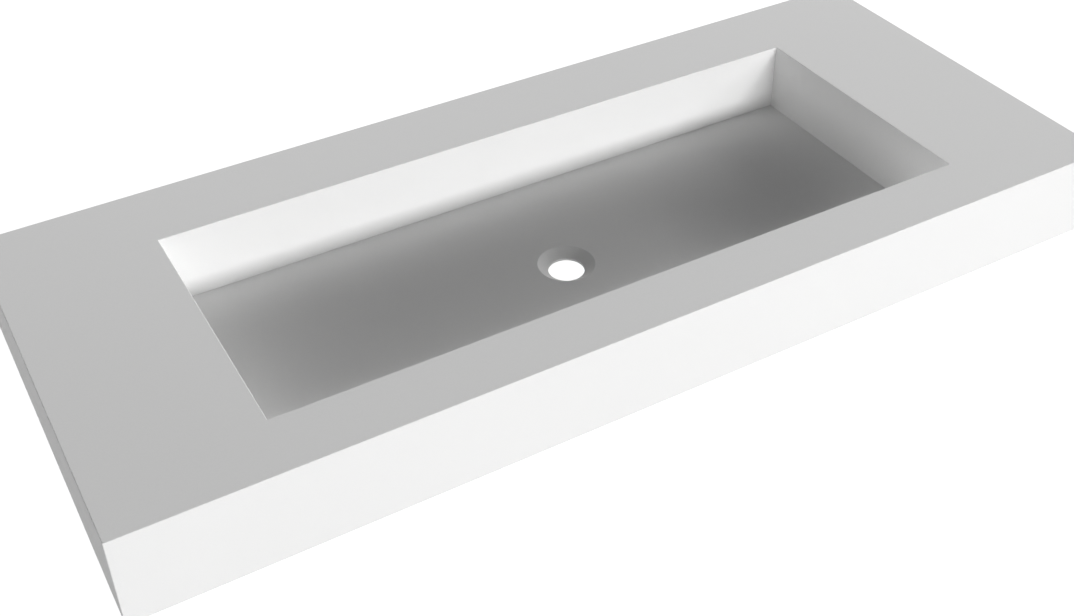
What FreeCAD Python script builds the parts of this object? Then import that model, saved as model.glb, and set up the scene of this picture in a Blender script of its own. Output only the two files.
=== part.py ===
# Wall-hung washbasin made up from solid-surface sheet: mitred deck and aprons, a trough of rebated
# strips under the deck, a plywood frame inside, and two hidden steel consoles that carry it.
# Frame: +Z up, the front faces -Y, the wall is the plane Y = 0, and the origin is the middle of
# the four wall bolts on that plane. Left and right are as seen from the front.

import FreeCAD, Part
import Sketcher
import math
import os
import re

# Driving dimensions in millimetres. Every diameter is named for the thing it belongs to.
SIZES = {
    # outside of the basin
    "basin_width": 1200,
    "basin_depth": 500,
    "basin_height": 110,
    "sheet_thick": 12,
    "arris_radius": 1,
    "foot_radius": 3,
    # trough
    "side_margin": 177,
    "front_margin": 72,
    "back_margin": 100,
    "bowl_depth": 89,
    "rebate_depth": 4,
    # waste outlet
    "waste_bore": 43,
    "recess_mouth": 68,
    "recess_depth": 9,
    # plywood frame
    "ply_thick": 18,
    "frame_gap": 1.5,
    "gusset_reach": 24,
    "gusset_drop": 55,
    "gusset_toe": 6,
    "front_gusset_count": 5,
    "side_gusset_count": 2,
    # strips round the foot of the trough
    "cleat_width": 20,
    "cleat_height": 25,
    "cleat_bevel": 8,
    # wall consoles
    "plate_width": 60,
    "plate_height": 70,
    "plate_thick": 6,
    "plate_corner": 6,
    "arm_setback": 100,
    "arm_width": 50,
    "arm_thick": 5,
    "arm_corner": 10,
    "web_thick": 5,
    "web_tip": 15,
    "wall_hole": 11,
    "wall_hole_spacing": 40,
    # bolts between consoles and frame
    "arm_hole": 9,
    "arm_hole_wall_distance": 90,
    "arm_hole_tip_distance": 70,
    "bolt_shank": 8,
    "thread_clearance": 0.1,
    "bolt_length": 16,
    "bolt_head_width": 13,
    "bolt_head_height": 5.3,
    "washer_outer": 16,
    "washer_hole": 8.4,
    "washer_thick": 1.6,
    "insert_outer": 12,
    "insert_length": 13,
}

# Sizes that follow from the driving ones, as formulas on their names.
BOWL_LONG = "(basin_width - 2 * side_margin)"
BOWL_SHORT = "(basin_depth - front_margin - back_margin)"
ARM_TOP = "(plate_height / 2)"
DECK_UNDER = f"({ARM_TOP} + ply_thick)"
RIM = f"({DECK_UNDER} + sheet_thick)"
BASE = f"({RIM} - basin_height)"
FLOOR_TOP = f"({RIM} - bowl_depth)"
FLOOR_UNDER = f"({FLOOR_TOP} - sheet_thick)"
WALL_TALL = "(bowl_depth - sheet_thick + 2 * rebate_depth)"
BOWL_FRONT = "(-basin_depth + front_margin)"
BOWL_BACK = "(-back_margin)"
BOWL_MIDDLE = f"(({BOWL_FRONT} + {BOWL_BACK}) / 2)"
TROUGH_FRONT = f"({BOWL_FRONT} - sheet_thick)"
TROUGH_BACK = f"({BOWL_BACK} + sheet_thick)"
TROUGH_LONG = f"({BOWL_LONG} + 2 * sheet_thick)"
TROUGH_SHORT = f"({BOWL_SHORT} + 2 * sheet_thick)"
APRON_INSIDE = "(basin_width / 2 - sheet_thick)"
BEARER_WIDE = "(side_margin - 2 * sheet_thick - 2 * frame_gap)"
BEARER_LONG = "(basin_depth - sheet_thick - frame_gap)"
RAIL_LONG = f"({TROUGH_LONG} + 2 * frame_gap)"
ARM_LONG = "(basin_depth - arm_setback)"
ARM_HOLE_SPACING = f"({ARM_LONG} - arm_hole_wall_distance - arm_hole_tip_distance)"
CONSOLE_X = f"(({TROUGH_LONG} / 2 + {APRON_INSIDE}) / 2)"
WALL_HOLE_X = "((plate_width / 2 - arm_width / 2 + web_thick) / 2)"
ARM_UNDER = f"({ARM_TOP} - arm_thick)"
HEAD_TOP = f"({ARM_UNDER} - washer_thick)"
THREAD = "(bolt_shank + thread_clearance)"

doc = FreeCAD.newDocument("washbasin")
sheet = doc.addObject("Spreadsheet::Sheet", "sizes")
for row, (alias, value) in enumerate(SIZES.items(), 1):
    sheet.set(f"A{row}", alias)
    sheet.set(f"B{row}", str(value))
    sheet.setAlias(f"B{row}", alias)
doc.recompute()

cuts = []


def size(alias):
    """A driving dimension as a plain number."""
    return float(sheet.get(alias))


def bind(thing, prop, formula):
    """Tie one property to a formula on the sheet's names, all of which hold an underscore."""
    thing.setExpression(prop, re.sub(r"[a-z]+(_[a-z]+)+", r"sizes.\g<0>", formula))


def new_body(label, x="0", y="0", z="0"):
    """An empty body whose own origin stands at three formulas."""
    body = doc.addObject("PartDesign::Body", label)
    body.Label = label
    for axis, formula in zip("xyz", (x, y, z)):
        bind(body, f"Placement.Base.{axis}", formula)
    return body


def origin_feature(body, role):
    """One of the body's own origin planes or axes."""
    return next(feature for feature in body.Origin.OriginFeatures if feature.Role == role)


def new_sketch(body, role, name, offset="0"):
    """A sketch on one of the body's origin planes, moved along the plane's normal."""
    sketch = body.newObject("Sketcher::SketchObject", f"{body.Name}_{name}")
    sketch.AttachmentSupport = (origin_feature(body, role), "")
    sketch.MapMode = "FlatFace"
    bind(sketch, "AttachmentOffset.Base.z", offset)
    return sketch


def hold_point(sketch, geometry, end, across, up, near):
    """Hold one point of a sketch at two formulas, measured from the sketch's origin."""
    for kind, formula, axis, start in (("DistanceX", across, -2, near.x), ("DistanceY", up, -1, near.y)):
        if formula == "0":
            sketch.addConstraint(Sketcher.Constraint("PointOnObject", geometry, end, axis))
        else:
            number = sketch.addConstraint(Sketcher.Constraint(kind, -1, 1, geometry, end, start))
            bind(sketch, f"Constraints[{number}]", formula)


def draw_outline(sketch, corners):
    """A closed outline of straight lines through corners, each a pair of formulas."""
    count = len(corners)
    turn = 2 * math.pi / count
    start = [FreeCAD.Vector(math.cos(turn * i + 1), math.sin(turn * i + 1), 0) for i in range(count)]
    first = sketch.GeometryCount
    for i in range(count):
        sketch.addGeometry(Part.LineSegment(start[i], start[(i + 1) % count]), False)
    for i in range(count):
        following = first + (i + 1) % count
        sketch.addConstraint(Sketcher.Constraint("Coincident", first + i, 2, following, 1))
    for i, (across, up) in enumerate(corners):
        hold_point(sketch, first + i, 1, across, up, start[i])


def draw_rectangle(sketch, left, low, right, high):
    """A rectangle between four formulas."""
    draw_outline(sketch, [(left, low), (right, low), (right, high), (left, high)])


def draw_circle(sketch, across, up, diameter):
    """A circle of the given diameter about a point."""
    centre = FreeCAD.Vector(1, 1, 0)
    number = sketch.addGeometry(Part.Circle(centre, FreeCAD.Vector(0, 0, 1), 1), False)
    hold_point(sketch, number, 3, across, up, centre)
    radius = sketch.addConstraint(Sketcher.Constraint("Radius", number, 1.0))
    bind(sketch, f"Constraints[{radius}]", f"{diameter} / 2")


def pad(sketch, length, both_ways=False):
    """Extrude a sketch along its normal, or half of the length each way."""
    body = sketch.getParentGeoFeatureGroup()
    feature = body.newObject("PartDesign::Pad", f"{sketch.Name}_pad")
    feature.Profile = sketch
    bind(feature, "Length", length)
    if both_ways:
        feature.SideType = "Symmetric"
    return feature


def cut_through(sketch):
    """Cut a sketch right through its body, both ways."""
    body = sketch.getParentGeoFeatureGroup()
    feature = body.newObject("PartDesign::Pocket", f"{sketch.Name}_cut")
    feature.Profile = sketch
    feature.Type = "ThroughAll"
    feature.SideType = "Symmetric"
    cuts.append(feature)
    return feature


def cut_up(sketch, depth):
    """Cut a sketch upwards, along its normal, to a depth."""
    body = sketch.getParentGeoFeatureGroup()
    feature = body.newObject("PartDesign::Pocket", f"{sketch.Name}_cut")
    feature.Profile = sketch
    feature.Reversed = True
    bind(feature, "Length", depth)
    cuts.append(feature)
    return feature


def edges_at(feature, **places):
    """Names of the feature's straight edges that lie where every given coordinate holds all along."""
    doc.recompute()
    names = []
    for number, edge in enumerate(feature.Shape.Edges, 1):
        ends = [vertex.Point for vertex in edge.Vertexes]
        if all(abs(getattr(end, axis) - place) < 1e-6 for end in ends for axis, place in places.items()):
            names.append(f"Edge{number}")
    return names


def round_edges(feature, names, radius):
    """Round the named edges of a feature."""
    body = feature.getParentGeoFeatureGroup()
    fillet = body.newObject("PartDesign::Fillet", f"{feature.Name}_round")
    fillet.Base = (feature, sorted(set(names)))
    bind(fillet, "Radius", radius)
    return fillet


def repeat(body, features, role, length, count):
    """Repeat features along one of the body's axes, spread evenly over a length."""
    pattern = body.newObject("PartDesign::LinearPattern", f"{body.Name}_row")
    pattern.Originals = features
    pattern.Direction = (origin_feature(body, role), [""])
    bind(pattern, "Length", length)
    bind(pattern, "Occurrences", count)
    body.Tip = pattern


def mirror(source, label):
    """The same piece for the other end of the basin."""
    other = doc.addObject("Part::Mirroring", label)
    other.Label = label
    other.Source = source
    other.Normal = FreeCAD.Vector(1, 0, 0)
    return other


# Deck panel: the top sheet. The blank's front and end arrises and the bowl's rim are eased first,
# so the mitres that follow leave exactly half of each rounded arris on this panel.
def make_deck_panel():
    body = new_body("deck_panel", y="-basin_depth", z=DECK_UNDER)
    blank = new_sketch(body, "XY_Plane", "blank")
    draw_rectangle(blank, "-basin_width / 2", "0", "basin_width / 2", "basin_depth")
    pad(blank, "sheet_thick")
    opening = new_sketch(body, "XY_Plane", "bowl_opening")
    opening_back = "basin_depth - back_margin"
    draw_rectangle(opening, f"-{BOWL_LONG} / 2", "front_margin", f"{BOWL_LONG} / 2", opening_back)
    cut = cut_through(opening)

    top = size("sheet_thick")
    end = size("basin_width") / 2
    side = end - size("side_margin")
    front = size("front_margin")
    back = size("basin_depth") - size("back_margin")
    arrises = edges_at(cut, y=0, z=top)
    for x in (-end, end):
        arrises += edges_at(cut, x=x, z=top) + edges_at(cut, x=x, y=0)
    for x in (-side, side):
        arrises += edges_at(cut, x=x, z=top)
    for y in (front, back):
        arrises += edges_at(cut, y=y, z=top)
    round_edges(cut, arrises, "arris_radius")

    rebate = new_sketch(body, "XY_Plane", "wall_rebate")
    rebate_front = "front_margin - sheet_thick"
    draw_rectangle(rebate, f"-{TROUGH_LONG} / 2", rebate_front, f"{TROUGH_LONG} / 2",
                   f"{opening_back} + sheet_thick")
    cut_up(rebate, "rebate_depth")
    front_mitre = new_sketch(body, "YZ_Plane", "front_mitre")
    draw_outline(front_mitre, [("0", "0"), ("sheet_thick", "0"), ("0", "sheet_thick")])
    cut_through(front_mitre)
    end_mitres = new_sketch(body, "XZ_Plane", "end_mitres")
    for sign in ("-", ""):
        corner = f"{sign}basin_width / 2"
        inside = f"{sign}{APRON_INSIDE}"
        draw_outline(end_mitres, [(corner, "0"), (inside, "0"), (corner, "sheet_thick")])
    cut_through(end_mitres)
    return body


# Front apron: rounded over along its foot and eased along its top and both ends, then mitred to the
# deck and the end aprons.
def make_front_apron():
    body = new_body("front_apron", y="-basin_depth", z=BASE)
    blank = new_sketch(body, "XY_Plane", "blank")
    draw_rectangle(blank, "-basin_width / 2", "0", "basin_width / 2", "sheet_thick")
    panel = pad(blank, "basin_height")
    foot = round_edges(panel, edges_at(panel, y=0, z=0), "foot_radius")
    end = size("basin_width") / 2
    arrises = edges_at(foot, y=0, z=size("basin_height"))
    for x in (-end, end):
        arrises += edges_at(foot, x=x, y=0)
    round_edges(foot, arrises, "arris_radius")

    top_mitre = new_sketch(body, "YZ_Plane", "top_mitre")
    draw_outline(top_mitre, [("0", "basin_height"), ("sheet_thick", "basin_height - sheet_thick"),
                             ("sheet_thick", "basin_height")])
    cut_through(top_mitre)
    end_mitres = new_sketch(body, "XY_Plane", "end_mitres")
    for sign in ("-", ""):
        corner = f"{sign}basin_width / 2"
        inside = f"{sign}{APRON_INSIDE}"
        draw_outline(end_mitres, [(corner, "0"), (inside, "sheet_thick"), (corner, "sheet_thick")])
    cut_through(end_mitres)
    return body


# End apron, left hand: mitred to the deck along its top and to the front apron at its front edge.
def make_left_apron():
    body = new_body("left_apron", x="-basin_width / 2", y="-basin_depth", z=BASE)
    blank = new_sketch(body, "XY_Plane", "blank")
    draw_rectangle(blank, "0", "0", "sheet_thick", "basin_depth")
    panel = pad(blank, "basin_height")
    foot = round_edges(panel, edges_at(panel, x=0, z=0), "foot_radius")
    arrises = edges_at(foot, x=0, z=size("basin_height")) + edges_at(foot, x=0, y=0)
    round_edges(foot, arrises, "arris_radius")

    top_mitre = new_sketch(body, "XZ_Plane", "top_mitre")
    draw_outline(top_mitre, [("0", "basin_height"), ("sheet_thick", "basin_height - sheet_thick"),
                             ("sheet_thick", "basin_height")])
    cut_through(top_mitre)
    front_mitre = new_sketch(body, "XY_Plane", "front_mitre")
    draw_outline(front_mitre, [("0", "0"), ("sheet_thick", "0"), ("sheet_thick", "sheet_thick")])
    cut_through(front_mitre)
    return body


# Long wall of the trough: let into the deck and the floor, and rebated at both ends for the short
# walls. inner_low and inner_high bound the depth of those end rebates across the wall.
def make_long_wall(label, outer_low, inner_low, inner_high):
    body = new_body(label, y=outer_low, z=f"{FLOOR_TOP} - rebate_depth")
    blank = new_sketch(body, "XY_Plane", "blank")
    draw_rectangle(blank, f"-{TROUGH_LONG} / 2", "0", f"{TROUGH_LONG} / 2", "sheet_thick")
    pad(blank, WALL_TALL)
    rebates = new_sketch(body, "XY_Plane", "end_rebates")
    for sign in ("-", ""):
        draw_rectangle(rebates, f"{sign}{BOWL_LONG} / 2", inner_low, f"{sign}{TROUGH_LONG} / 2", inner_high)
    cut_through(rebates)
    return body


# Short wall of the trough, left hand: its ends reach into the long walls' rebates.
def make_bowl_left_wall():
    body = new_body("bowl_left_wall", f"-{TROUGH_LONG} / 2", f"{BOWL_FRONT} - rebate_depth",
                    f"{FLOOR_TOP} - rebate_depth")
    blank = new_sketch(body, "XY_Plane", "blank")
    draw_rectangle(blank, "0", "0", "sheet_thick", f"{BOWL_SHORT} + 2 * rebate_depth")
    pad(blank, WALL_TALL)
    return body


# Floor of the trough: a sheet rebated all round for the walls, with the waste outlet turned into
# its middle as a cone that runs down to a short straight bore.
def make_bowl_floor():
    body = new_body("bowl_floor", y=BOWL_MIDDLE, z=FLOOR_UNDER)
    blank = new_sketch(body, "XY_Plane", "blank")
    draw_rectangle(blank, f"-{TROUGH_LONG} / 2", f"-{TROUGH_SHORT} / 2", f"{TROUGH_LONG} / 2",
                   f"{TROUGH_SHORT} / 2")
    pad(blank, "sheet_thick - rebate_depth")
    seat = new_sketch(body, "XY_Plane", "inside", "sheet_thick - rebate_depth")
    draw_rectangle(seat, f"-{BOWL_LONG} / 2", f"-{BOWL_SHORT} / 2", f"{BOWL_LONG} / 2", f"{BOWL_SHORT} / 2")
    pad(seat, "rebate_depth")
    outlet = new_sketch(body, "XZ_Plane", "waste_outlet")
    draw_outline(outlet, [("0", "0"), ("waste_bore / 2", "0"),
                          ("waste_bore / 2", "sheet_thick - recess_depth"),
                          ("recess_mouth / 2", "sheet_thick"), ("0", "sheet_thick")])
    groove = body.newObject("PartDesign::Groove", "bowl_floor_waste_outlet_cut")
    groove.Profile = outlet
    groove.ReferenceAxis = (outlet, ["V_Axis"])
    groove.Angle = 360
    cuts.append(groove)
    return body


# Bearer, left hand: a plywood board under the side deck, bored from below for the threaded inserts.
def make_left_bearer():
    body = new_body("left_bearer", f"-{APRON_INSIDE} + frame_gap", f"-{BEARER_LONG}", ARM_TOP)
    blank = new_sketch(body, "XY_Plane", "blank")
    draw_rectangle(blank, "0", "0", BEARER_WIDE, BEARER_LONG)
    pad(blank, "ply_thick")
    holes = new_sketch(body, "XY_Plane", "insert_holes")
    for from_wall in ("arm_hole_wall_distance", f"arm_hole_wall_distance - {ARM_HOLE_SPACING}"):
        draw_circle(holes, f"{BEARER_WIDE} / 2", f"{BEARER_LONG} - {from_wall}", "insert_outer")
    cut_up(holes, "insert_length")
    return body


# Rail: a plywood strip between the two bearers, from one formula to another across the basin.
def make_rail(label, front, back):
    body = new_body(label, z=ARM_TOP)
    blank = new_sketch(body, "XY_Plane", "blank")
    draw_rectangle(blank, f"-{RAIL_LONG} / 2", front, f"{RAIL_LONG} / 2", back)
    pad(blank, "ply_thick")
    return body


# Cleat: a strip of the sheet stuck in the angle between a wall and the floor, its free lower corner
# bevelled. Sign says which way the strip stands out from the wall.
def make_cleat(label, plane, sign, length, x="0", y="0"):
    body = new_body(label, x, y, FLOOR_UNDER)
    section = new_sketch(body, plane, "section")
    outside = f"{sign}cleat_width"
    draw_outline(section, [("0", "0"), ("0", "cleat_height"), (outside, "cleat_height"),
                           (outside, "cleat_bevel"), (f"{sign}(cleat_width - cleat_bevel)", "0")])
    pad(section, length, both_ways=True)
    return body


# Gussets: plywood knees in the angle between the frame and an apron, in an even row that starts and
# ends in line with the bowl's ends.
def make_gussets(label, plane, row_axis, row_length, count, x, y):
    body = new_body(label, x, y, ARM_TOP)
    knee = new_sketch(body, plane, "knee")
    draw_outline(knee, [("0", "0"), ("gusset_reach", "0"), ("gusset_reach", "-gusset_toe"),
                        ("gusset_toe", "-gusset_drop"), ("0", "-gusset_drop")])
    first = pad(knee, "ply_thick", both_ways=True)
    repeat(body, [first], row_axis, row_length, count)
    return body


# Wall console, left hand: a wall plate with an arm along its top edge and a tapered web under the
# arm's outer edge, welded into one piece. The wall bolts pass beside the web.
def make_left_bracket():
    body = new_body("left_bracket", x=f"-{CONSOLE_X}")
    plate = new_sketch(body, "XZ_Plane", "plate")
    draw_rectangle(plate, "-plate_width / 2", "-plate_height / 2", "plate_width / 2", "plate_height / 2")
    wall_plate = pad(plate, "plate_thick")
    corners = []
    for x in (-size("plate_width") / 2, size("plate_width") / 2):
        for z in (-size("plate_height") / 2, size("plate_height") / 2):
            corners += edges_at(wall_plate, x=x, z=z)
    round_edges(wall_plate, corners, "plate_corner")

    arm = new_sketch(body, "XY_Plane", "arm", ARM_UNDER)
    draw_outline(arm, [("-arm_width / 2", "-plate_thick"), ("-arm_width / 2", f"-{ARM_LONG} + arm_corner"),
                       ("-arm_width / 2 + arm_corner", f"-{ARM_LONG}"),
                       ("arm_width / 2 - arm_corner", f"-{ARM_LONG}"),
                       ("arm_width / 2", f"-{ARM_LONG} + arm_corner"), ("arm_width / 2", "-plate_thick")])
    pad(arm, "arm_thick")
    web = new_sketch(body, "YZ_Plane", "web", "-arm_width / 2")
    draw_outline(web, [("-plate_thick", ARM_UNDER), ("-plate_thick", "-plate_height / 2 + plate_corner"),
                       (f"-{ARM_LONG} + arm_corner", f"{ARM_UNDER} - web_tip"),
                       (f"-{ARM_LONG} + arm_corner", ARM_UNDER)])
    pad(web, "web_thick")

    wall_holes = new_sketch(body, "XZ_Plane", "wall_holes")
    for sign in ("-", ""):
        draw_circle(wall_holes, WALL_HOLE_X, f"{sign}wall_hole_spacing / 2", "wall_hole")
    cut_through(wall_holes)
    arm_holes = new_sketch(body, "XY_Plane", "arm_holes")
    for from_wall in ("-arm_hole_wall_distance", f"-arm_hole_wall_distance - {ARM_HOLE_SPACING}"):
        draw_circle(arm_holes, "0", from_wall, "arm_hole")
    cut_through(arm_holes)
    return body


# Fastener between a console and its bearer: made at the left console's rear bolt, repeated at the
# front one, then mirrored to the other console as one group of four.
def new_fastener(label, z):
    return new_body(f"left_{label}", f"-{CONSOLE_X}", "-arm_hole_wall_distance", z)


def at_every_bolt(body, features, label):
    repeat(body, features, "Y_Axis", ARM_HOLE_SPACING, "2")
    body.Tip.Reversed = True
    group = doc.addObject("Part::Compound", label)
    group.Label = label
    group.Links = [body, mirror(body, f"right_{label}")]
    return group


# Plain ring, for an insert or a washer.
def make_rings(label, z, outer, inner, length):
    body = new_fastener(label, z)
    ring = new_sketch(body, "XY_Plane", "ring")
    draw_circle(ring, "0", "0", outer)
    draw_circle(ring, "0", "0", inner)
    return at_every_bolt(body, [pad(ring, length)], label)


# Hexagon bolts, up through the washers and the arm into the inserts.
def make_bolts():
    body = new_fastener("bracket_bolts", f"{HEAD_TOP} - bolt_head_height")
    head = new_sketch(body, "XY_Plane", "head")
    flat = "bolt_head_width / 2"
    corner = "bolt_head_width / sqrt(3)"
    half = f"{corner} / 2"
    draw_outline(head, [(corner, "0"), (half, flat), (f"-{half}", flat),
                        (f"-{corner}", "0"), (f"-{half}", f"-{flat}"), (half, f"-{flat}")])
    hexagon = pad(head, "bolt_head_height")
    shank = new_sketch(body, "XY_Plane", "shank", "bolt_head_height")
    draw_circle(shank, "0", "0", "bolt_shank")
    return at_every_bolt(body, [hexagon, pad(shank, "bolt_length")], "bracket_bolts")


left_apron = make_left_apron()
bowl_left_wall = make_bowl_left_wall()
left_bearer = make_left_bearer()
left_cleat = make_cleat("left_cleat", "XZ_Plane", "-", TROUGH_SHORT, f"-{TROUGH_LONG} / 2", BOWL_MIDDLE)
left_apron_gussets = make_gussets("left_apron_gussets", "XZ_Plane", "Y_Axis", BOWL_SHORT,
                                  "side_gusset_count", f"-{APRON_INSIDE}", BOWL_FRONT)
left_bracket = make_left_bracket()
long_cleat = f"{TROUGH_LONG} + 2 * cleat_width"

sub_parts = [
    make_deck_panel(),
    make_front_apron(),
    left_apron,
    mirror(left_apron, "right_apron"),
    make_long_wall("bowl_front_wall", TROUGH_FRONT, "sheet_thick - rebate_depth", "sheet_thick"),
    make_long_wall("bowl_back_wall", BOWL_BACK, "0", "rebate_depth"),
    bowl_left_wall,
    mirror(bowl_left_wall, "bowl_right_wall"),
    make_bowl_floor(),
    left_bearer,
    mirror(left_bearer, "right_bearer"),
    make_rail("front_rail", f"-{BEARER_LONG}", f"{TROUGH_FRONT} - frame_gap"),
    make_rail("rear_rail", f"{TROUGH_BACK} + frame_gap", "0"),
    make_cleat("front_cleat", "YZ_Plane", "-", long_cleat, y=TROUGH_FRONT),
    make_cleat("back_cleat", "YZ_Plane", "", long_cleat, y=TROUGH_BACK),
    left_cleat,
    mirror(left_cleat, "right_cleat"),
    make_gussets("front_apron_gussets", "YZ_Plane", "X_Axis", BOWL_LONG, "front_gusset_count",
                 f"-{BOWL_LONG} / 2", "-basin_depth + sheet_thick"),
    left_apron_gussets,
    mirror(left_apron_gussets, "right_apron_gussets"),
    left_bracket,
    mirror(left_bracket, "right_bracket"),
    make_rings("bracket_inserts", ARM_TOP, "insert_outer", THREAD, "insert_length"),
    make_rings("bracket_washers", HEAD_TOP, "washer_outer", "washer_hole", "washer_thick"),
    make_bolts(),
]

doc.recompute()
for thing in doc.Objects:
    if "Invalid" in thing.State or "Error" in thing.State:
        raise RuntimeError(f"{thing.Label} failed: {thing.State}")
for cut in cuts:
    if cut.Shape.Volume > cut.BaseFeature.Shape.Volume - 1:
        raise RuntimeError(f"{cut.Label} removes nothing")
for part in sub_parts:
    if part.Shape.isNull() or not part.Shape.isValid() or not part.Shape.Solids:
        raise RuntimeError(f"{part.Label} has no sound shape")

os.makedirs("parts", exist_ok=True)
for part in sub_parts:
    part.Shape.exportStep(f"parts/{part.Label}.step")
    box = part.Shape.BoundBox
    extents = f"{box.XLength:.1f} x {box.YLength:.1f} x {box.ZLength:.1f} mm"
    print(f"{part.Label}: {len(part.Shape.Solids)} solids, {part.Shape.Volume:.0f} mm3, {extents}")
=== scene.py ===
import bmesh
import bpy
import math
from mathutils import Matrix, Vector


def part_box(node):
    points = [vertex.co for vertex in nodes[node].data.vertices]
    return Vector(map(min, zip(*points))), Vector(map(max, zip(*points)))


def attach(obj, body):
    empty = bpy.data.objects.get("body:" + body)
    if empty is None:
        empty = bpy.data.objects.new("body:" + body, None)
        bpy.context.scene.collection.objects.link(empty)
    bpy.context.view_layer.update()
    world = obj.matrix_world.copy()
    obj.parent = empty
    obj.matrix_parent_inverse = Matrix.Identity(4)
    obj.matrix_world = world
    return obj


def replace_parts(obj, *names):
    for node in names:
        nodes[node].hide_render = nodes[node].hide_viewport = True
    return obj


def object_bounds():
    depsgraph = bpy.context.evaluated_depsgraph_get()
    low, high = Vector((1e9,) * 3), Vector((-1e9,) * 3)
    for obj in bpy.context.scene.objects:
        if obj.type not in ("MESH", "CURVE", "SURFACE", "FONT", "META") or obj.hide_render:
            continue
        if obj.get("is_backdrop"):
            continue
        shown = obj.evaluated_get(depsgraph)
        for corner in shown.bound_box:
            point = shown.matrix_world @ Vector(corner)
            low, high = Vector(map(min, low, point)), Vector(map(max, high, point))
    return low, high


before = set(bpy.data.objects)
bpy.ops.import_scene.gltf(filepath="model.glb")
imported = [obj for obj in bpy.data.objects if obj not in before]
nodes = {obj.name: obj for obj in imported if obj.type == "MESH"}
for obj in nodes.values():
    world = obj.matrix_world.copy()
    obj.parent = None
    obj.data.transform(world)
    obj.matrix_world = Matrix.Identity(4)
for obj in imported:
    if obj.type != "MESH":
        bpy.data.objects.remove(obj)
cad_low, cad_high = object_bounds()

# Deck panel: the top sheet of the basin, 12 mm mineral-filled acrylic, matt white all through.
# It is cut out over the bowl, sanded with a fine disc, and bonded to the aprons along its mitres.


class Socket:
    """One output in a finish's node tree. Arithmetic on it adds Math nodes, and node() adds any
    other kind."""

    def __init__(self, tree, output=None):
        self.tree = tree
        self.output = output

    def node(self, kind, values=None, settings=None, output=None):
        """A node of any kind: its settings first, then its inputs as values or links."""
        made = self.tree.nodes.new("ShaderNode" + kind)
        for name, value in (settings or {}).items():
            setattr(made, name, value)
        for name, value in (values or {}).items():
            named = [socket for socket in made.inputs if socket.enabled and socket.name == name]
            target = made.inputs[name] if isinstance(name, int) else named[0]
            if isinstance(value, Socket):
                self.tree.links.new(value.output, target)
            else:
                target.default_value = value
        given = [socket for socket in made.outputs if socket.enabled]
        wanted = [socket for socket in given if output in (None, socket.name)]
        return Socket(self.tree, wanted[0])

    def maths(self, operation, first, second=0.0):
        return self.node("Math", {0: first, 1: second}, {"operation": operation})

    def __add__(self, other):
        return self.maths("ADD", self, other)

    __radd__ = __add__

    def __sub__(self, other):
        return self.maths("SUBTRACT", self, other)

    def __rsub__(self, other):
        return self.maths("SUBTRACT", other, self)

    def __mul__(self, other):
        return self.maths("MULTIPLY", self, other)

    __rmul__ = __mul__

    def __truediv__(self, other):
        return self.maths("DIVIDE", self, other)

    def __mod__(self, other):
        return self.maths("FLOORED_MODULO", self, other)

    def __gt__(self, other):
        return self.maths("GREATER_THAN", self, other)

    def __abs__(self):
        return self.maths("ABSOLUTE", self)

    def noise(self, per_metre, detail=2.0):
        """Noise over this place, from 0 to 1, with so many grains to the metre."""
        values = {"Vector": self, "Scale": per_metre, "Detail": detail}
        return self.node("TexNoise", values, output="Fac")

    def between(self, low, high):
        """A blend from one colour to another by this value."""
        ends = [end if isinstance(end, Socket) else (*end, 1.0) for end in (low, high)]
        colours = {"Factor": self, "A": ends[0], "B": ends[1]}
        return self.node("Mix", colours, {"data_type": "RGBA"}, "Result")

    def relief(self, depth):
        """A normal for a surface that this value raises by so many metres."""
        return self.node("Bump", {"Height": self, "Distance": depth}, output="Normal")

    def into(self, shader, name):
        """Link this output to an input of the finish's shader."""
        self.tree.links.new(self.output, shader.inputs[name])


def new_finish(name):
    """A material, its shader, and the place on the object that its maths starts from."""
    finish = bpy.data.materials.new(name)
    finish.use_nodes = True
    place = Socket(finish.node_tree).node("TexCoord", output="Object")
    return finish, finish.node_tree.nodes["Principled BSDF"], place


def dress(finish, *names):
    """Give CAD nodes a finish."""
    for name in names:
        nodes[name].data.materials.clear()
        nodes[name].data.materials.append(finish)


dark_fleck, pale_fleck = (0.80, 0.80, 0.797), (0.87, 0.87, 0.868)
sanded_roughness = 0.74
sanding_depth = 0.00001
acrylic_ior = 1.49
solid_surface, shader, place = new_finish("solid_surface")
fleck = place.noise(per_metre=900.0, detail=3.0)
cloud = place.noise(per_metre=5.0)
sanding = place.noise(per_metre=2600.0)
(fleck * 0.7 + cloud * 0.3).between(dark_fleck, pale_fleck).into(shader, "Base Color")
(sanded_roughness + fleck * 0.06 + cloud * 0.06).into(shader, "Roughness")
sanding.relief(sanding_depth).into(shader, "Normal")
shader.inputs["IOR"].default_value = acrylic_ior
dress(solid_surface, "deck_panel")

# Aprons: strips of the same sheet round the front and both ends, mitred to the deck and to each
# other so that no edge of the sheet shows. The arrises are eased by hand and the foot is rounded.
dress(solid_surface, "front_apron", "left_apron", "right_apron")

# Bowl: four walls let into rebates under the deck and round the floor, and the floor itself, with
# the conical recess for the waste turned into its middle.
dress(solid_surface, "bowl_front_wall", "bowl_back_wall", "bowl_left_wall", "bowl_right_wall",
      "bowl_floor")

# Cleats: offcuts of the same sheet, bonded round the foot of the bowl to back up the joint between
# its walls and its floor.
dress(solid_surface, "front_cleat", "back_cleat", "left_cleat", "right_cleat")

# Seam adhesive: what squeezed out of the hidden joints and was left there, a bead along the top of
# each cleat and one down the inside of each apron mitre. The same acrylic, unfilled and glossier.
bead_leg, bead_step = 0.0035, 0.004
bead_points, bead_crown = 7, 0.25
bead_tip, bead_taper = 0.15, 0.006
slow_wave, slow_height, slow_start = 63.0, 0.11, 1.3
quick_wave, quick_height = 171.0, 0.05
sharp_angle = math.radians(32)


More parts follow.
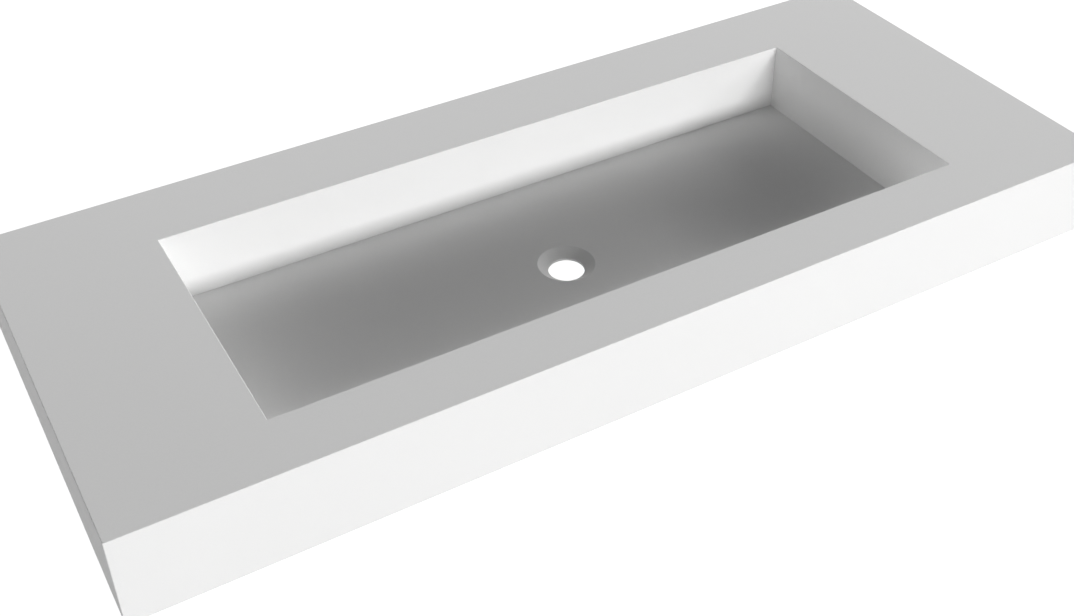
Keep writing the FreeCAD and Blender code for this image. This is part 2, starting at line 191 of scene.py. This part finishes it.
def corner_bead(start, end, first, second, leg, swell, step):
    """Rings of a bead in the corner of two faces. first and second point along the faces, out of
    the corner, and swell gives the bead's fullness at a distance along its run."""
    run = end - start
    count = round(run.length / step)
    rings = []
    for ring_index in range(count + 1):
        corner = start + run * ring_index / count
        size = leg * swell(run.length * ring_index / count, run.length)
        ring = [corner]
        for index in range(bead_points):
            turn = math.pi / 2 * index / (bead_points - 1)
            flat = size / (math.cos(turn) + math.sin(turn))
            reach = flat * (1 + bead_crown * math.sin(2 * turn))
            ring.append(corner + (first * math.cos(turn) + second * math.sin(turn)) * reach)
        rings.append(ring)
    return rings


def ringed_piece(name, runs, finish):
    """One fixed piece from runs of rings: walls from ring to ring and a cap at both ends."""
    points, faces = [], []
    for rings in runs:
        count = len(rings[0])
        for ring_index, ring in enumerate(rings):
            base = len(points)
            points.extend(ring)
            corners = [base + index for index in range(count)]
            if ring_index:
                for one, two in zip(corners, corners[1:] + corners[:1]):
                    faces.append((one - count, two - count, two, one))
            if ring_index in (0, len(rings) - 1):
                faces.append(corners)
    mesh = bpy.data.meshes.new(name)
    mesh.from_pydata(points, [], faces)
    shaping = bmesh.new()
    shaping.from_mesh(mesh)
    bmesh.ops.recalc_face_normals(shaping, faces=shaping.faces)
    shaping.to_mesh(mesh)
    shaping.free()
    mesh.polygons.foreach_set("use_smooth", [True] * len(mesh.polygons))
    mesh.set_sharp_from_angle(angle=sharp_angle)
    mesh.materials.append(finish)
    piece = bpy.data.objects.new(name, mesh)
    bpy.context.scene.collection.objects.link(piece)
    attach(piece, "root")
    return piece


def squeezed_out(along, length):
    """Uneven all along, in two waves of so many radians to the metre, and thin at both ends."""
    slow = slow_height * (math.sin(slow_wave * along + slow_start) - 1)
    quick = quick_height * (math.sin(quick_wave * along) - 1)
    return (1 + slow + quick) * min(1.0, bead_tip + min(along, length - along) / bead_taper)


def adhesive_bead(start, end, first, second, leg):
    return corner_bead(start, end, first, second, leg, squeezed_out, bead_step)


left, right, front, back, up, down = (Vector(way) for way in (
    (-1, 0, 0), (1, 0, 0), (0, -1, 0), (0, 1, 0), (0, 0, 1), (0, 0, -1)))
thick_acrylic, thin_acrylic = (0.74, 0.73, 0.69), (0.84, 0.83, 0.80)
glossy_roughness = 0.22
skin_depth = 0.0002
seam_adhesive, shader, place = new_finish("seam_adhesive")
ripple = place.noise(per_metre=220.0, detail=3.0)
skin = place.noise(per_metre=420.0)
ripple.between(thick_acrylic, thin_acrylic).into(shader, "Base Color")
(glossy_roughness + ripple * 0.16).into(shader, "Roughness")
skin.relief(skin_depth).into(shader, "Normal")
foot_clearance, board_clearance = 0.006, 0.002
trough_left, trough_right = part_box("left_cleat")[1].x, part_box("right_cleat")[0].x
trough_front, trough_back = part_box("front_cleat")[1].y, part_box("back_cleat")[0].y
cleat_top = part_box("left_cleat")[1].z
apron_left, apron_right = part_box("left_apron")[1].x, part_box("right_apron")[0].x
apron_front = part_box("front_apron")[1].y
mitre_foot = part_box("front_apron")[0].z + foot_clearance
mitre_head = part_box("left_bearer")[0].z - board_clearance
beads = []
for y, outwards in ((trough_front, front), (trough_back, back)):
    start, end = Vector((trough_left, y, cleat_top)), Vector((trough_right, y, cleat_top))
    beads.append(adhesive_bead(start, end, outwards, up, bead_leg))
for x, outwards in ((trough_left, left), (trough_right, right)):
    start, end = Vector((x, trough_front, cleat_top)), Vector((x, trough_back, cleat_top))
    beads.append(adhesive_bead(start, end, outwards, up, bead_leg))
for x, inwards in ((apron_left, right), (apron_right, left)):
    start, end = Vector((x, apron_front, mitre_foot)), Vector((x, apron_front, mitre_head))
    beads.append(adhesive_bead(start, end, inwards, back, bead_leg))
ringed_piece("seam_beads", beads, seam_adhesive)

# Bearers and rails: boards of 18 mm birch plywood, thirteen veneers thick, bonded to the underside
# of the deck. The bearers run from front to back and the rails between them.
ply_thick, veneers = 0.018, 13
streaks_along, streaks_across = 7.0, 130.0
glue_from_middle = 0.44
glue_colour = (0.20, 0.11, 0.055)
facing = 0.7
sawn_roughness = 0.80
grain_depth = 0.00015
lone_board = 1.0


def birch_plywood(name, stacked, grain, first_face, spacing):
    """Birch plywood with its veneers stacked along one axis and its face grain along another. The
    boards start at first_face and follow each other at a spacing, which is long for one alone."""
    finish, shader, place = new_finish(name)
    stretch = tuple(streaks_along if axis == grain else streaks_across for axis in "XYZ")
    stretched = place.node("VectorMath", {0: place, 1: stretch}, {"operation": "MULTIPLY"})
    figure = stretched.noise(per_metre=1.0, detail=4.0)
    pores = place.noise(per_metre=1300.0)
    depth = (place.node("SeparateXYZ", {"Vector": place}, output=stacked) - first_face) % spacing
    layer = depth / (ply_thick / veneers)
    end_grain = (layer % 2.0) > 1.0
    glue_line = abs(layer % 1.0 - 0.5) > glue_from_middle
    normal = place.node("NewGeometry", output="Normal")
    on_face = abs(place.node("SeparateXYZ", {"Vector": normal}, output=stacked)) > facing
    veneer = figure.between((0.60, 0.42, 0.25), (0.80, 0.64, 0.44))
    long_grain = pores.between((0.62, 0.45, 0.28), (0.74, 0.57, 0.38))
    cut_grain = pores.between((0.36, 0.23, 0.12), (0.55, 0.38, 0.22))
    sawn = end_grain.between(long_grain, cut_grain)
    sawn = (glue_line * 0.75).between(sawn, glue_colour)
    on_face.between(sawn, veneer).into(shader, "Base Color")
    (sawn_roughness - on_face * 0.18 + pores * 0.1).into(shader, "Roughness")
    grain_height = figure * 0.4 + pores * 0.6 - glue_line * 0.5
    grain_height.relief(grain_depth).into(shader, "Normal")
    return finish


board_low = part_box("left_bearer")[0].z
bearer_ply = birch_plywood("bearer_plywood", "Z", "Y", board_low, lone_board)
rail_ply = birch_plywood("rail_plywood", "Z", "X", board_low, lone_board)
dress(bearer_ply, "left_bearer", "right_bearer")
dress(rail_ply, "front_rail", "rear_rail")

# Gussets: knees of the same plywood that hold the aprons square, five along the front and two at
# each end, stuck down with a bead of adhesive on both sides.
front_gussets, side_gussets = 5, 2
knee_leg, knee_clearance = 0.003, 0.001


def row_of_boards(name, axis, count):
    """The first face along an axis of a row of boards, and their spacing."""
    low, high = (getattr(corner, axis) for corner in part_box(name))
    return low, (high - low - ply_thick) / (count - 1)


front_first, front_spacing = row_of_boards("front_apron_gussets", "x", front_gussets)
side_first, side_spacing = row_of_boards("left_apron_gussets", "y", side_gussets)
front_ply = birch_plywood("front_gusset_plywood", "X", "Z", front_first, front_spacing)
side_ply = birch_plywood("side_gusset_plywood", "Y", "Z", side_first, side_spacing)
dress(front_ply, "front_apron_gussets")
dress(side_ply, "left_apron_gussets", "right_apron_gussets")
gusset_low, gusset_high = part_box("front_apron_gussets")
foot, head = gusset_low.z + knee_clearance, gusset_high.z - knee_clearance
beads = []
for index in range(front_gussets):
    face = front_first + index * front_spacing
    for x, sideways in ((face, left), (face + ply_thick, right)):
        start, end = Vector((x, apron_front, foot)), Vector((x, apron_front, head))
        beads.append(adhesive_bead(start, end, sideways, back, knee_leg))
for index in range(side_gussets):
    face = side_first + index * side_spacing
    for x, inwards in ((apron_left, right), (apron_right, left)):
        for y, sideways in ((face, front), (face + ply_thick, back)):
            start, end = Vector((x, y, foot)), Vector((x, y, head))
            beads.append(adhesive_bead(start, end, inwards, sideways, knee_leg))
ringed_piece("gusset_beads", beads, seam_adhesive)

# Inserts: turned brass sleeves pressed into the bearers from below, threaded for the bolts that
# come up through the wall brackets.
dark_brass, pale_brass = (0.60, 0.43, 0.17), (0.76, 0.60, 0.30)
turned_roughness = 0.24
brass, shader, place = new_finish("brass")
turning = place.noise(per_metre=700.0, detail=4.0)
turning.between(dark_brass, pale_brass).into(shader, "Base Color")
(turned_roughness + turning * 0.18).into(shader, "Roughness")
shader.inputs["Metallic"].default_value = 1.0
dress(brass, "bracket_inserts")

# Wall brackets: plate, arm and web of steel flat, welded together and hot-dip galvanised, so that
# zinc crystals show all over and the welds are coated with the rest. The zinc has gone dull.
dark_zinc, pale_zinc = (0.38, 0.40, 0.41), (0.62, 0.64, 0.65)
crystals_per_metre = 120.0
dip_roughness, dip_depth = 0.42, 0.00004
dulled_metal = 0.35
galvanised, shader, place = new_finish("galvanised_steel")
spangle = {"Vector": place, "Scale": crystals_per_metre}
crystals = place.node("TexVoronoi", spangle, output="Color")
crystal = place.node("SeparateColor", {"Color": crystals}, output="Red")
dull = place.noise(per_metre=35.0, detail=3.0)
fine = place.noise(per_metre=1500.0)
(crystal * 0.65 + dull * 0.35).between(dark_zinc, pale_zinc).into(shader, "Base Color")
(dip_roughness + crystal * 0.14 + dull * 0.14).into(shader, "Roughness")
(crystal * 0.3 + fine * 0.7).relief(dip_depth).into(shader, "Normal")
shader.inputs["Metallic"].default_value = dulled_metal
dress(galvanised, "left_bracket", "right_bracket")
plate_thick, steel_thick, arm_margin = 0.006, 0.005, 0.005
web_rise = 0.009
weld_leg, weld_tip, weld_taper = 0.0035, 0.35, 0.004
ripple_pitch, ripple_height, rings_per_ripple = 0.0024, 0.18, 4
stitch_length = 0.036
stitches_from_wall = (0.012, 0.125, 0.225, 0.345)


def welded(along, length):
    """Ripples one behind the other, and a rounded start and end."""
    ripple = 1 + ripple_height * (abs(math.sin(math.pi * along / ripple_pitch)) - 1)
    return ripple * min(1.0, weld_tip + min(along, length - along) / weld_taper)


for side, outwards in (("left", left), ("right", right)):
    inwards = -outwards
    low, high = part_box(side + "_bracket")
    plate_edge = low.x if outwards.x < 0 else high.x
    web_outside = plate_edge + inwards.x * arm_margin
    web_inside = web_outside + inwards.x * steel_thick
    arm_inside = (high.x if outwards.x < 0 else low.x) + outwards.x * arm_margin
    arm_under = high.z - steel_thick
    plate_face = high.y - plate_thick
    root = Vector((web_inside, plate_face, arm_under))
    runs = [(root, root + inwards * abs(arm_inside - web_inside), front, down)]
    for from_wall in stitches_from_wall:
        start = Vector((web_inside, high.y - from_wall, arm_under))
        runs.append((start, start + front * stitch_length, inwards, down))
    web_foot = low.z + web_rise
    for x, sideways in ((web_inside, inwards), (web_outside, outwards)):
        start, end = Vector((x, plate_face, web_foot)), Vector((x, plate_face, arm_under))
        runs.append((start, end, sideways, front))
    ring_step = ripple_pitch / rings_per_ripple
    welds = [corner_bead(*run, weld_leg, welded, ring_step) for run in runs]
    ringed_piece(side + "_bracket_welds", welds, galvanised)

# Washers and bolts: four M8 hexagon bolts with flat washers, bright zinc plate, up through the arms
# into the inserts. The heads have a washer face and a chamfer, the shanks a full thread.
bluish_zinc, yellowish_zinc = (0.62, 0.64, 0.67), (0.78, 0.78, 0.76)
plating_roughness, plating_depth = 0.20, 0.00003
zinc, shader, place = new_finish("zinc_plated_steel")
plating = place.noise(per_metre=180.0, detail=3.0)
pitting = place.noise(per_metre=1400.0)
plating.between(bluish_zinc, yellowish_zinc).into(shader, "Base Color")
(plating_roughness + plating * 0.16).into(shader, "Roughness")
pitting.relief(plating_depth).into(shader, "Normal")
shader.inputs["Metallic"].default_value = 1.0
dress(zinc, "bracket_washers")
across_flats, head_height, washer_face = 0.013, 0.0053, 0.0004
end_radius, washer_radius = across_flats / 2 * 0.94, across_flats / 2 * 0.93
chamfer_angle = math.radians(30)
thread_pitch, thread_depth, thread_radius = 0.00125, 0.00068, 0.00395
flank_slope = 2.6
rings_per_turn, points_round = 6, 72


def round_ring(middle, height, radius):
    """A ring round a bolt's axis. radius is a number, or a function of the angle."""
    ring = []
    for index in range(points_round):
        angle = math.tau * index / points_round
        reach = radius(angle) if callable(radius) else radius
        ring.append(middle + Vector((math.cos(angle) * reach, math.sin(angle) * reach, height)))
    return ring


def hexagon(angle):
    return across_flats / 2 / math.cos(angle % (math.pi / 3) - math.pi / 6)


def bolt_rings(middle, length):
    """A bolt from the outer end of its head, at middle, up to its tip."""
    chamfered = round_ring(middle, 0.0, hexagon)
    for point in chamfered:
        point.z += ((point - middle).xy.length - end_radius) * math.tan(chamfer_angle)
    flats_end = head_height - washer_face
    rings = [
        round_ring(middle, 0.0, end_radius),
        chamfered,
        round_ring(middle, flats_end, hexagon),
        round_ring(middle, flats_end, washer_radius),
        round_ring(middle, head_height, washer_radius),
    ]
    root = thread_radius - thread_depth
    steps = round(length / thread_pitch * rings_per_turn)
    for step in range(steps + 1):
        climb = length * step / steps
        crest = min(1.0, (length - climb) / thread_pitch, climb / thread_pitch)

        def thread(angle):
            turn = (climb / thread_pitch - angle / math.tau) % 1.0
            return root + thread_depth * crest * min(1.0, flank_slope * abs(turn - 0.5))

        rings.append(round_ring(middle, head_height + climb, thread))
    return rings


bolts_low, bolts_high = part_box("bracket_bolts")
shank_length = bolts_high.z - bolts_low.z - head_height
corner_radius = across_flats / math.sqrt(3)
bolts = []
for x in (bolts_low.x + corner_radius, bolts_high.x - corner_radius):
    for y in (bolts_low.y + across_flats / 2, bolts_high.y - across_flats / 2):
        bolts.append(bolt_rings(Vector((x, y, bolts_low.z)), shank_length))
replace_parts(ringed_piece("hexagon_bolts", bolts, zinc), "bracket_bolts")

# Stage: a plain pale floor at the height a basin hangs above one. Seen directly it is white, with
# the basin's faint shadow on it, and from underneath it lets the view through.


def directly_seen(start):
    """1 for what the camera sees, straight, in a reflection or through glass, 0 for what lights."""
    kinds = ("Camera", "Glossy", "Transmission")
    rays = [start.node("LightPath", output=f"Is {kind} Ray") for kind in kinds]
    return start.maths("MINIMUM", rays[0] + rays[1] + rays[2], 1.0)


rim_height = 0.85
floor_level = cad_high.z - rim_height
floor_reach = 30.0
floor_white, floor_glow, full_white = 0.6, 0.64, 1.0
lit_reach, fading_reach = 2.5, 3.0
floor_mesh = bpy.data.meshes.new("stage_floor")
signs = ((-1, -1), (1, -1), (1, 1), (-1, 1))
corners = [(x * floor_reach, y * floor_reach, floor_level) for x, y in signs]
floor_mesh.from_pydata(corners, [], [(0, 1, 2, 3)])
floor = bpy.data.objects.new("stage_floor", floor_mesh)
bpy.context.scene.collection.objects.link(floor)
pale_floor, shader, start = new_finish("pale_floor")
pale_floor.node_tree.nodes.remove(shader)
matt = start.node("BsdfDiffuse", {"Color": (floor_white, floor_white, floor_white, 1.0)})
glow = start.node("Emission", {"Strength": floor_glow})
near_by = start.node("AddShader", {0: matt, 1: glow})
far_off = start.node("Emission", {"Strength": full_white})
distance = start.node("VectorMath", {0: start}, {"operation": "LENGTH"}, "Value")
seen = start.node("MixShader", {0: (distance - lit_reach) / fading_reach, 1: near_by, 2: far_off})
upper = start.node("MixShader", {0: directly_seen(start), 1: matt, 2: seen})
under = start.node("NewGeometry", output="Backfacing")
surface = start.node("MixShader", {0: under, 1: upper, 2: start.node("BsdfTransparent")})
surface.into(pale_floor.node_tree.nodes["Material Output"], "Surface")
floor_mesh.materials.append(pale_floor)
floor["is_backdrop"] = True

# Light: a dim even room and five soft lamps. The strongest is low in front, one to the right
# reaches down to the bowl's floor, two behind light the deck and leave most of that floor in shade,
# and the lowest stands on the left.
room_light = 0.05
white = (1.0, 1.0, 1.0, 1.0)
lamp_distance = 8.0
world = bpy.data.worlds.new("studio")
bpy.context.scene.world = world
world.use_nodes = True
start = Socket(world.node_tree)
room = start.node("Background", {"Color": white, "Strength": room_light})
ground = start.node("Background", {"Color": white, "Strength": full_white})
backdrop = start.node("MixShader", {0: directly_seen(start), 1: room, 2: ground})
backdrop.into(world.node_tree.nodes["World Output"], "Surface")
middle = (cad_low + cad_high) / 2


def soft_lamp(name, heading, height, width, tall, power):
    """A rectangular lamp aimed at the basin, so many degrees round from its front and above it."""
    lamp = bpy.data.lights.new(name, "AREA")
    lamp.shape = "RECTANGLE"
    lamp.size = width
    lamp.size_y = tall
    lamp.energy = power
    turned, raised = math.radians(heading), math.radians(height)
    flat = math.cos(raised)
    towards = Vector((math.sin(turned) * flat, -math.cos(turned) * flat, math.sin(raised)))
    stand = bpy.data.objects.new(name, lamp)
    stand.location = middle + towards * lamp_distance
    stand.rotation_euler = towards.to_track_quat("Z", "Y").to_euler()
    bpy.context.scene.collection.objects.link(stand)


soft_lamp("front_lamp", heading=8.0, height=13.3, width=2.2, tall=0.6, power=453.0)
soft_lamp("right_lamp", heading=50.0, height=22.0, width=5.0, tall=1.5, power=110.0)
soft_lamp("back_lamp", heading=175.0, height=19.5, width=1.5, tall=0.5, power=385.0)
soft_lamp("back_right_lamp", heading=120.0, height=16.0, width=5.0, tall=0.8, power=245.0)
soft_lamp("left_lamp", heading=-90.0, height=5.0, width=3.0, tall=0.8, power=120.0)

# Camera: the photograph's place, angle and lens, in metres and degrees. The photograph is cropped,
# so the lens axis meets it somewhat above its middle.
photo_width, photo_height = 1074, 616
lens_axis_row = 250
focal_length_pixels = 1412.5
camera_place = (-0.6748, -1.3904, 0.9797)
heading, looking_down, roll = math.radians(29.43), math.radians(36.85), math.radians(-0.74)
lens = bpy.data.cameras.new("photo_camera")
lens.sensor_width = 36.0
lens.lens = focal_length_pixels / photo_width * lens.sensor_width
lens.shift_y = (lens_axis_row - photo_height / 2) / photo_width
camera = bpy.data.objects.new("photo_camera", lens)
camera.matrix_world = (
    Matrix.Translation(camera_place)
    @ Matrix.Rotation(-heading, 4, "Z")
    @ Matrix.Rotation(math.pi / 2 - looking_down, 4, "X")
    @ Matrix.Rotation(roll, 4, "Z")
)
bpy.context.scene.collection.objects.link(camera)
bpy.context.scene.camera = camera
bpy.context.scene.view_settings.view_transform = "Standard"

low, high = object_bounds()
